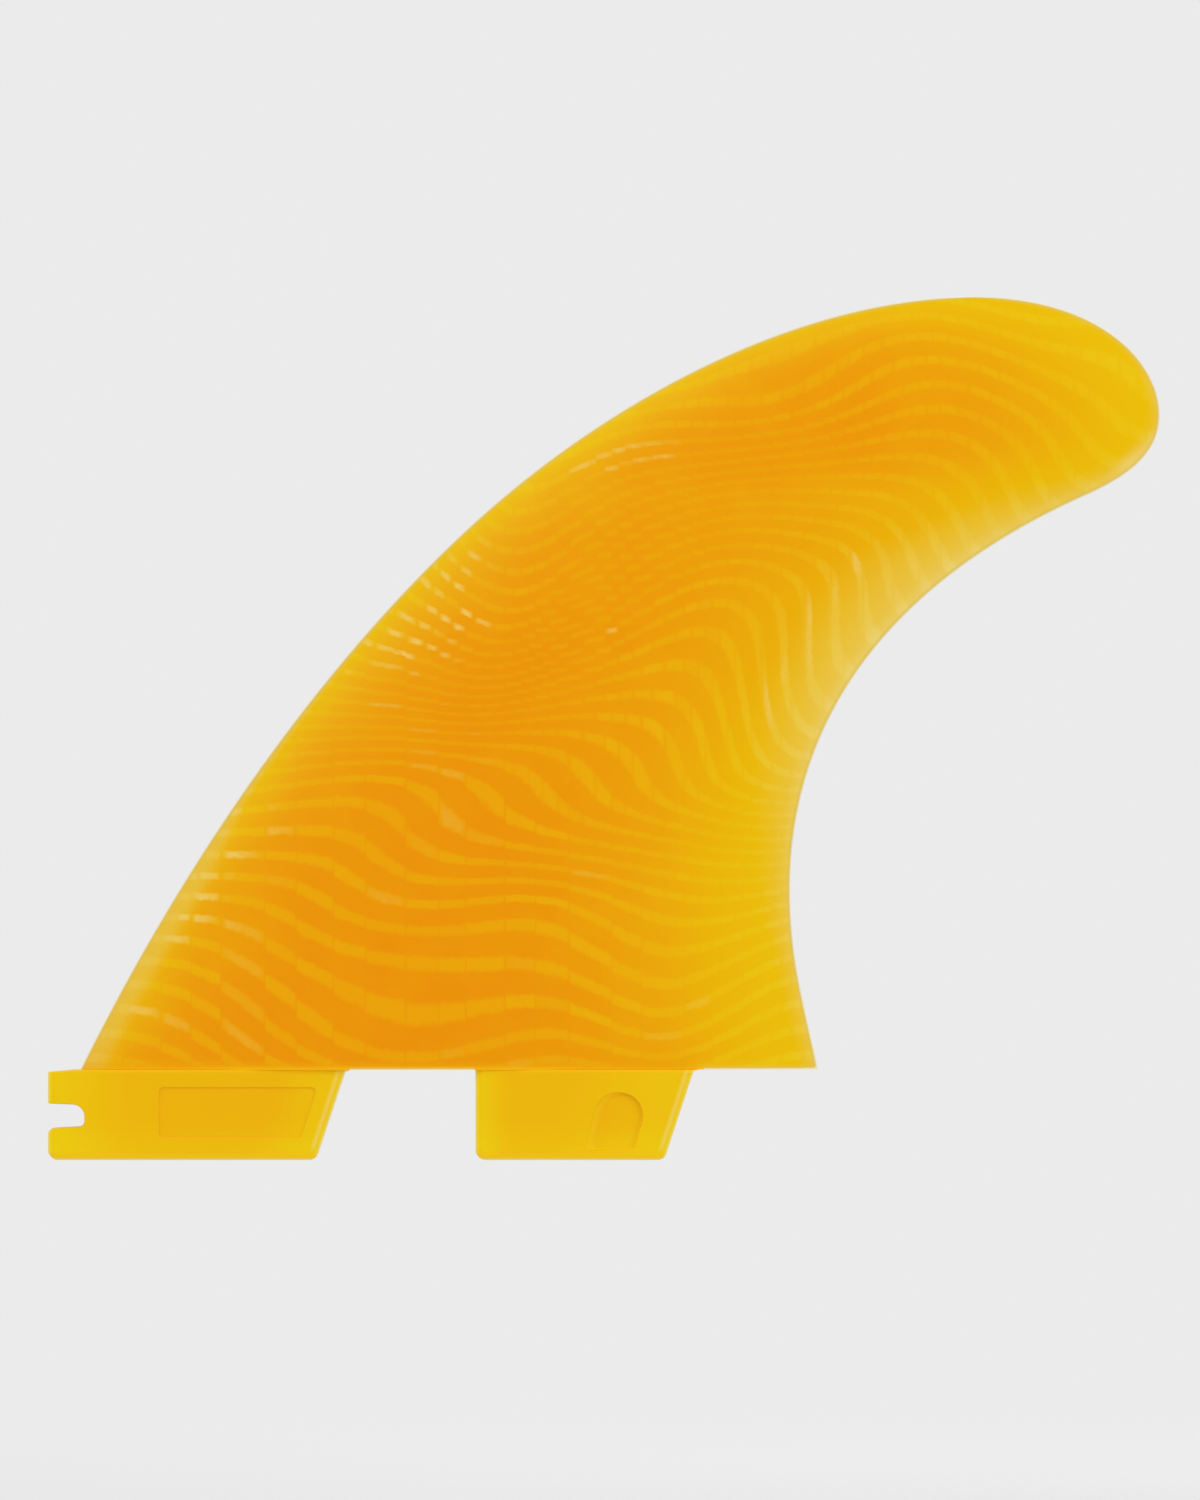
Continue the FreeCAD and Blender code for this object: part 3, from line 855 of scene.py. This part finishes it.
def amber_fibreglass():
    """amber resin over rippled glass cloth, moulded and semi-gloss.

    The resin is orange where it is thick, yellow where it is thin, and pale low on the
    leading edge and along the trailing edge. The cloth shows as light wavy lines, with
    paler bits. Painted light shines through under the tip, along the joint with the
    tabs, where it lifts the shade, and at the edges, which end in a painted shade line
    and then a painted highlight line.
    """
    material, tree = new_material("amber_rippled_fibreglass")
    texture = add(tree, "TexCoord").outputs["Object"]
    place = add(tree, "VectorMath", {0: texture, "Scale": 1 / MM}, operation="SCALE")
    height = add(tree, "SeparateXYZ", (place,)).outputs["Z"]
    depth, from_edge, front_share, from_rear, rear_reach, glare = [
        add(tree, "Attribute", attribute_name=name).outputs["Fac"]
        for name in ("depth", "from_edge", "front_share", "from_rear", "rear_reach", "glare")]
    line, dash, fleck = cloth_lines(tree, place, depth)

    share = add(tree, "Math", (depth, DEEPEST), operation="DIVIDE")
    ground = add(tree, "ValToRGB", (share,), stops=GROUND_SHADES)
    light = add(tree, "ValToRGB", (share,), stops=LINE_SHADES)
    cloud = add(tree, "TexNoise", {"Vector": place, "Scale": CLOUD_SCALE, "Detail": 3.0})
    cloudy = add(tree, "MapRange", (cloud, *CLOUDS), **SMOOTH)
    # Painted glow just above the base
    low = add(tree, "MapRange", (height, *BASE_GLOW), **SMOOTH)
    lighter = add(tree, "Math", (cloudy, low), operation="MAXIMUM")
    ground = add(tree, "Mix", {"Factor": lighter, "A": ground, "B": light}, **COLOURS)

    yellow = add(tree, "Math", (from_rear, -1 / YELLOW_REACH), operation="MULTIPLY")
    yellow = add(tree, "Math", (yellow,), operation="EXPONENT")
    rear_share = add(tree, "Math", (from_rear, rear_reach), operation="DIVIDE")
    strength = add(tree, "Math", (rear_reach, PALE_GAIN, PALE_STRENGTH), operation="MULTIPLY_ADD")
    at_edge = add(tree, "MapRange", (from_edge, *EDGE_GAIN), **SMOOTH)
    strength = add(tree, "Math", (strength, at_edge), operation="MULTIPLY")
    haze = add(tree, "MapRange", (front_share, *FRONT_HAZE), **SMOOTH)
    shades = []
    for shade, (warm, pale, reach, most), front in ((ground, GROUND_REAR, GROUND_FRONT),
                                                    (light, LINE_REAR, LINE_FRONT)):
        shade = add(tree, "Mix", {"Factor": yellow, "A": shade, "B": linear(warm)}, **COLOURS)
        near = add(tree, "MapRange", (rear_share, 0.0, reach, 1.0, 0.0))
        near = add(tree, "Math", (near, PALE_POWER), operation="POWER")
        near = add(tree, "Math", (near, most), operation="MULTIPLY")
        near = add(tree, "Math", (near, strength), operation="MULTIPLY")
        shade = add(tree, "Mix", {"Factor": near, "A": shade, "B": linear(pale)}, **COLOURS)
        shades.append(add(tree, "Mix", {"Factor": haze, "A": shade, "B": linear(front)}, **COLOURS))
    ground, light = shades
    colour = add(tree, "Mix", {"Factor": line, "A": ground, "B": light}, **COLOURS)

    # Painted glare where light shines through under the tip
    glare = add(tree, "Math", (glare, GLARE), operation="MULTIPLY")
    dimmer = add(tree, "MapRange", (height, *DASHES), **SMOOTH)
    dash = add(tree, "Math", (dash, dimmer), operation="MULTIPLY")
    fleck = add(tree, "Math", (fleck, FLECKS), operation="MULTIPLY")
    # Painted glow at the joint with the tabs against the shade there, then a painted shade line and a
    # painted highlight line along the edges
    joint = add(tree, "MapRange", (height, *BLADE_JOINT_GLOW), **SMOOTH)
    painted_edge_shading = add(tree, "MapRange", (from_edge, *BLADE_EDGE_SHADING), **SMOOTH)
    painted_edge_highlight = add(tree, "MapRange", (from_edge, *BLADE_EDGE_HIGHLIGHT), **SMOOTH)
    for cover, tint in ((glare, "#EFDE96"), (dash, "#F0CC6A"), (fleck, "#F2CE78"),
                        (joint, "#FFC210"), (painted_edge_shading, "#DCBF58"), (painted_edge_highlight, "#F5E7BA")):
        colour = add(tree, "Mix", {"Factor": cover, "A": colour, "B": linear(tint)}, **COLOURS)

    peel = add(tree, "TexNoise", {"Vector": place, "Scale": PEEL_SCALE, "Detail": 2.0})
    bump = add(tree, "Bump", {"Height": peel, **PEEL_BUMP})
    shader = add(tree, "BsdfPrincipled", {
        "Base Color": colour, "Roughness": ROUGHNESS, "IOR": PLASTIC_IOR,
        "Specular IOR Level": RESIN_SPECULAR, "Normal": bump})
    add(tree, "OutputMaterial", {"Surface": shader})
    return material


# Nylon from inside to the edges, its clouds and its grain: how many a millimetre has, how
# much the clouds lighten it, and how deep the grain is
NYLON_SHADES = [(0.0, "#EEB300"), (1.0, "#EECE04")]
NYLON_CLOUD_SCALE = 0.06
NYLON_CLOUDS = 0.25
NYLON_GRAIN_SCALE = 0.9
GRAIN_BUMP = {"Strength": 0.1, "Distance": 0.1 * MM}

# What else lightens it, as painted glow, by share of the tab's front and rear reach and by
# height above the foot, and the painted shade by depth in a recess, where it is darker,
# though not at its foot
FRONT_GLOW = (0.0, 1.0, 0.6, 0.0)
REAR_GLOW = (0.1, 1.0, 0.4, 0.0)
FOOT_GLOW = (1.0, 7.0, 0.25, 0.0)
SUNK_SHADE = (0.05, 0.6, 0.0, -0.3)
SUNK_FROM_FOOT = (1.5, 5.0)

# Painted highlight along the slanted edge: its outer side, its inner side, and how it fades at the
# foot
HIGHLIGHT_OUTER = (0.5, 1.0)
HIGHLIGHT_INNER = (1.0, 1.6, 1.0, 0.0)
HIGHLIGHT_FROM_FOOT = (0.9, 2.5, 0.0, 0.4)

# Lines of painted light and shade along the rims, by distance from them: painted lightening, warm
# painted lightening at the foot, painted shading and a painted highlight, and how far onto the
# straight walls they reach
RIM_LIGHTENING = (0.3, 0.9, 0.6, 0.0)
FOOT_WARM_LIGHTENING = (0.6, 1.3, 0.7, 0.0)
RIM_PAINTED_SHADING = (0.1, 0.5, 0.7, 0.0)
RIM_PAINTED_HIGHLIGHT = (0.02, 0.16, 0.9, 0.0)
WALL_FADE = 0.6

# Painted glow at the joint with the blade against the shade there, by height above the foot
TAB_JOINT_GLOW = (TAB_DEPTH - 0.6, TAB_DEPTH, 0.0, 0.5)


def moulded_nylon():
    """glass-filled nylon, moulded and semi-gloss.

    It lets some light through, which is painted: it is yellow near the edges and more
    orange inside, darker in the recesses as painted shade, and their steep walls get
    painted light. A painted highlight follows the start of the slanted edge's rounding.
    The rims end in lines of painted light, painted shading and a painted highlight, the
    foot in a warm painted lightening too, which fade out on the straight walls. A painted
    glow lifts the shade at the joint with the blade.
    """
    material, tree = new_material("moulded_yellow_nylon")
    texture = add(tree, "TexCoord").outputs["Object"]
    front_share, rear_share, from_front, from_rear, from_foot, sunk, wall_lightening = [
        add(tree, "Attribute", attribute_name=name).outputs["Fac"]
        for name in ("front_share", "rear_share", "from_front", "from_rear", "from_foot",
                     "sunk", "wall_lightening")]

    # Painted glow near the front, the rear and the foot
    front = add(tree, "MapRange", (front_share, *FRONT_GLOW), **SMOOTH)
    rear = add(tree, "MapRange", (rear_share, *REAR_GLOW), **SMOOTH)
    foot = add(tree, "MapRange", (from_foot, *FOOT_GLOW), **SMOOTH)
    # Painted shade by depth in a recess, though not near its foot
    deep = add(tree, "MapRange", (sunk, *SUNK_SHADE), **SMOOTH)
    above_foot = add(tree, "MapRange", (from_foot, *SUNK_FROM_FOOT), **SMOOTH)
    deep = add(tree, "Math", (deep, above_foot), operation="MULTIPLY")
    cloud = add(tree, "TexNoise", {"Vector": texture, "Scale": NYLON_CLOUD_SCALE / MM, "Detail": 2.0})
    glow = add(tree, "Math", (cloud, NYLON_CLOUDS, front), operation="MULTIPLY_ADD")
    for part in (rear, foot, deep):
        glow = add(tree, "Math", (glow, part), operation="ADD")
    colour = add(tree, "ValToRGB", (glow,), stops=NYLON_SHADES)

    # Painted highlight at the start of the slanted edge's rounding
    outer = add(tree, "MapRange", (from_rear, *HIGHLIGHT_OUTER), **SMOOTH)
    inner = add(tree, "MapRange", (from_rear, *HIGHLIGHT_INNER), **SMOOTH)
    lasting = add(tree, "MapRange", (from_foot, *HIGHLIGHT_FROM_FOOT), **SMOOTH)
    painted_streak_highlight = add(tree, "Math", (outer, inner), operation="MULTIPLY")
    painted_streak_highlight = add(tree, "Math", (painted_streak_highlight, lasting), operation="MULTIPLY")

    across = add(tree, "SeparateXYZ", (texture,)).outputs["Y"]
    across = add(tree, "Math", (across,), operation="ABSOLUTE")
    rim_y = TAB_THICKNESS / 2 - TAB_RIM_ROUND
    wall_fade = ((rim_y - WALL_FADE) * MM, rim_y * MM, 1.0, 0.0)
    middle = add(tree, "MapRange", (across, *wall_fade), **SMOOTH)
    from_rim = add(tree, "Math", (from_rear, from_foot), operation="MINIMUM")
    from_rim = add(tree, "Math", (from_rim, from_front), operation="MINIMUM")
    from_rim = add(tree, "Math", (from_rim, middle), operation="ADD")
    from_foot_rim = add(tree, "Math", (from_foot, middle), operation="ADD")
    # Lines of painted light and shade along the rims and the foot, and painted glow at the joint
    rim_lightening = add(tree, "MapRange", (from_rim, *RIM_LIGHTENING), **SMOOTH)
    warm = add(tree, "MapRange", (from_foot_rim, *FOOT_WARM_LIGHTENING), **SMOOTH)
    painted_edge_shading = add(tree, "MapRange", (from_rim, *RIM_PAINTED_SHADING), **SMOOTH)
    painted_edge_highlight = add(tree, "MapRange", (from_rim, *RIM_PAINTED_HIGHLIGHT), **SMOOTH)
    joint = add(tree, "MapRange", (from_foot_rim, *TAB_JOINT_GLOW), **SMOOTH)
    # Mixed over the nylon in turn: painted light on steep recess walls, the painted highlight, painted
    # lightening on the rims and the foot, painted shading, a painted highlight at the very edge and
    # the painted glow at the joint
    for cover, tint in ((wall_lightening, "#FFCE1C"), (painted_streak_highlight, "#F2DE78"), (rim_lightening, "#FADA0C"), (warm, "#FFC814"),
                        (painted_edge_shading, "#F0DC70"), (painted_edge_highlight, "#FFF0C8"), (joint, "#FFC810")):
        colour = add(tree, "Mix", {"Factor": cover, "A": colour, "B": linear(tint)}, **COLOURS)

    grain = add(tree, "TexNoise", {"Vector": texture, "Scale": NYLON_GRAIN_SCALE / MM, "Detail": 2.0})
    bump = add(tree, "Bump", {"Height": grain, **GRAIN_BUMP})
    shader = add(tree, "BsdfPrincipled", {
        "Base Color": colour, "Roughness": ROUGHNESS, "IOR": PLASTIC_IOR,
        "Specular IOR Level": NYLON_SPECULAR, "Normal": bump})
    add(tree, "OutputMaterial", {"Surface": shader})
    return material


# Studio, in metres
VIEW_CENTRE = (0.0227, 0.04805)
VIEW_HEIGHT = 0.2256
LENS = 400.0
SENSOR = 36.0
FAR_CLIP = 10.0
FLOOR_Z = -0.075
FLOOR_RADIUS = 0.6
FLOOR_FADE = (0.4 * FLOOR_RADIUS, 0.98 * FLOOR_RADIUS)
FLOOR_SIDES = 96
BACKGROUND = "#EBEBEB"
PAPER = "#ECECED"
AMBIENT = 0.755

# Lamps: name, place, size and power in watts
LAMPS = [
    ("key_lamp", (-0.35, -0.7, 0.6), 0.6, 2.0),
    ("fill_lamp", (0.7, -0.5, 0.2), 0.5, 1.0),
    ("back_lamp", (0.3, 0.7, 0.5), 0.6, 1.5),
]


def make_camera():
    """a long lens square on to the outer face, at the photo's framing"""
    data = bpy.data.cameras.new("camera")
    data.lens = LENS
    data.sensor_width = SENSOR
    data.clip_end = FAR_CLIP
    camera = bpy.data.objects.new("camera", data)
    distance = VIEW_HEIGHT * LENS / SENSOR
    camera.location = (VIEW_CENTRE[0], -distance, VIEW_CENTRE[1])
    camera.rotation_euler = (math.pi / 2, 0, 0)
    bpy.context.scene.collection.objects.link(camera)
    bpy.context.scene.camera = camera


def make_lamp(name, place, size, power):
    """a square soft lamp aimed at the middle of the fin"""
    data = bpy.data.lights.new(name, "AREA")
    data.size = size
    data.energy = power
    lamp = bpy.data.objects.new(name, data)
    lamp.location = place
    centre = np.array([VIEW_CENTRE[0], 0, VIEW_CENTRE[1]])
    away = np.array(place) - centre
    lamp.rotation_euler = (math.acos(away[2] / np.linalg.norm(away)), 0,
                           math.atan2(away[1], away[0]) + math.pi / 2)
    bpy.context.scene.collection.objects.link(lamp)


def make_world():
    """pale background for what sees it directly, soft even light for everything else"""
    world = bpy.data.worlds.new("studio")
    world.use_nodes = True
    tree = world.node_tree
    tree.nodes.clear()
    path = add(tree, "LightPath").outputs
    seen = add(tree, "Math", (path["Is Camera Ray"], path["Is Glossy Ray"]), operation="MAXIMUM")
    seen = add(tree, "Math", (seen, path["Is Transmission Ray"]), operation="MAXIMUM")
    light = add(tree, "Background", {"Color": (1, 1, 1, 1), "Strength": AMBIENT})
    pale = add(tree, "Background", {"Color": linear(BACKGROUND), "Strength": 1.0})
    mixed = add(tree, "MixShader", (seen, light, pale))
    add(tree, "OutputWorld", {"Surface": mixed})
    bpy.context.scene.world = world


def make_floor():
    """a round pale floor that fades out towards its rim and keeps the shadow"""
    middle = (VIEW_CENTRE[0], 0, FLOOR_Z)
    turn = np.arange(FLOOR_SIDES) * 2 * math.pi / FLOOR_SIDES
    ring = np.stack([np.cos(turn), np.sin(turn), turn * 0], -1) * FLOOR_RADIUS + middle
    mesh = bpy.data.meshes.new("floor")
    mesh.from_pydata(ring.tolist(), [], [list(range(FLOOR_SIDES))])
    floor = bpy.data.objects.new("floor", mesh)
    bpy.context.scene.collection.objects.link(floor)
    material, tree = new_material("pale_paper")
    place = add(tree, "TexCoord").outputs["Object"]
    reach = add(tree, "VectorMath", (place, middle), operation="DISTANCE").outputs["Value"]
    fade = add(tree, "MapRange", (reach, *FLOOR_FADE), **SMOOTH)
    paper = add(tree, "BsdfDiffuse", {"Color": linear(PAPER)})
    clear = add(tree, "BsdfTransparent")
    mixed = add(tree, "MixShader", (fade, paper, clear))
    add(tree, "OutputMaterial", {"Surface": mixed})
    mesh.materials.append(material)


resin = amber_fibreglass()
nylon = moulded_nylon()
for piece in (make_blade(resin), make_front_tab(nylon), make_rear_tab(nylon)):
    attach(piece, "root")
    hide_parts("fin")

make_camera()
make_world()
make_floor()
for lamp in LAMPS:
    make_lamp(*lamp)
bpy.context.scene.view_settings.view_transform = "Standard"
